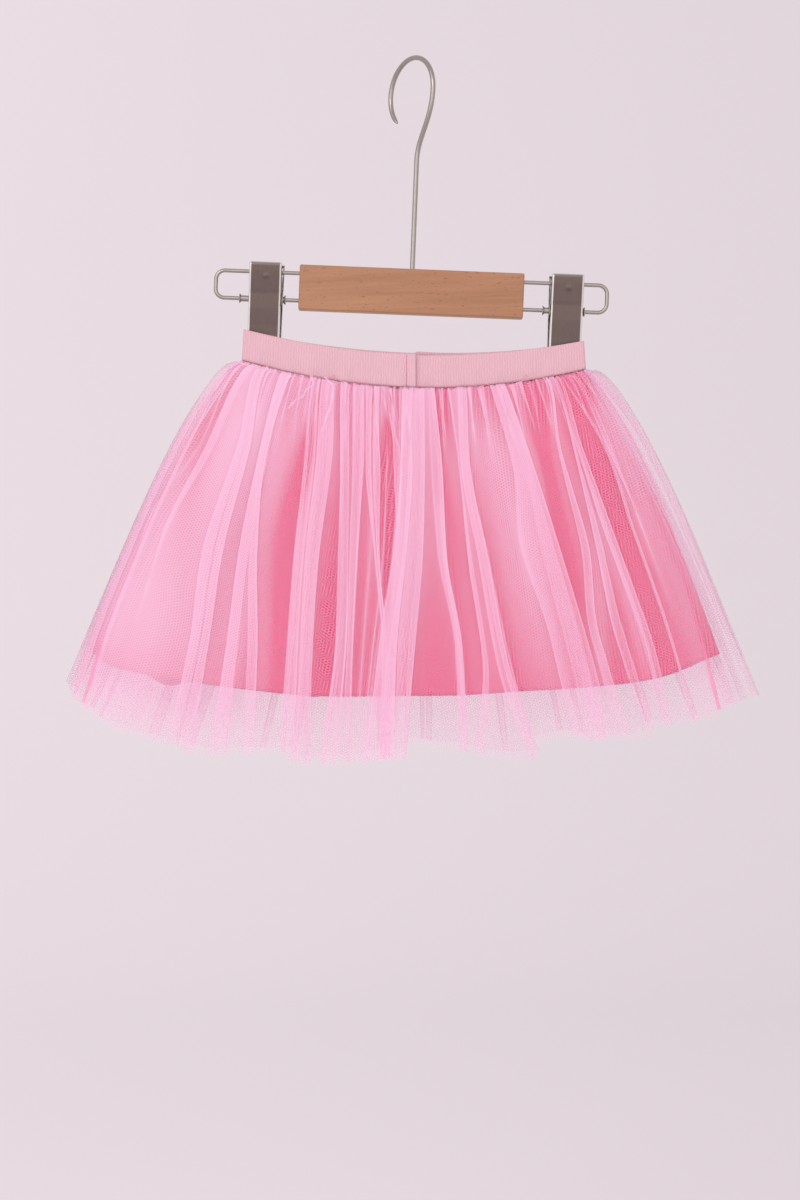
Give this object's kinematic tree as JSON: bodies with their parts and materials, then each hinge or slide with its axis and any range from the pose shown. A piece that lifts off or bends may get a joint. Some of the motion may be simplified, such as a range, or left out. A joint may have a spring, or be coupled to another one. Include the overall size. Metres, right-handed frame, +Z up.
{
  "type": "skort on clip hanger",
  "caption": "Child's pulled-on skort: gathered net skirt over an opaque lining with shorts inside, held by its elastic waistband on a wooden clip hanger.",
  "frame": {"origin": "the highest point inside the hook, where it bears on a rail", "axes": "+Z up, +X to the right as seen from the front, -Y towards the front of the skort"},
  "size_m": [0.5139, 0.0798, 0.5271],
  "materials": {
    "tulle": "fine hexagonal polyester net, matt, two layers over the lining",
    "lining": "opaque plain-woven polyester, slight sheen",
    "jersey": "knit jersey, matt",
    "ribbed_elastic": "woven elastic with fine upright ribs, matt",
    "beech": "oiled, fine grain along the bar",
    "nickel_wire": "bright nickel-plated steel wire",
    "plated_sheet": "polished plated steel sheet"
  },
  "bodies": {
    "root": {"clip_left_back": "plated_sheet", "clip_left_front": "plated_sheet", "clip_left_sleeve": "nickel_wire", "clip_left_spring": "nickel_wire", "clip_right_back": "plated_sheet", "clip_right_front": "plated_sheet", "clip_right_sleeve": "nickel_wire", "clip_right_spring": "nickel_wire", "hanger_bar": "beech", "hanger_hook": "nickel_wire", "hanger_loop_left": "nickel_wire", "hanger_loop_right": "nickel_wire", "lining_back": "lining", "lining_front": "lining", "shorts_left": "jersey", "shorts_right": "jersey", "tulle_outer_back": "tulle", "tulle_outer_front": "tulle", "tulle_under_back": "tulle", "tulle_under_front": "tulle", "waistband": "ribbed_elastic"}
  },
  "joints": []
}
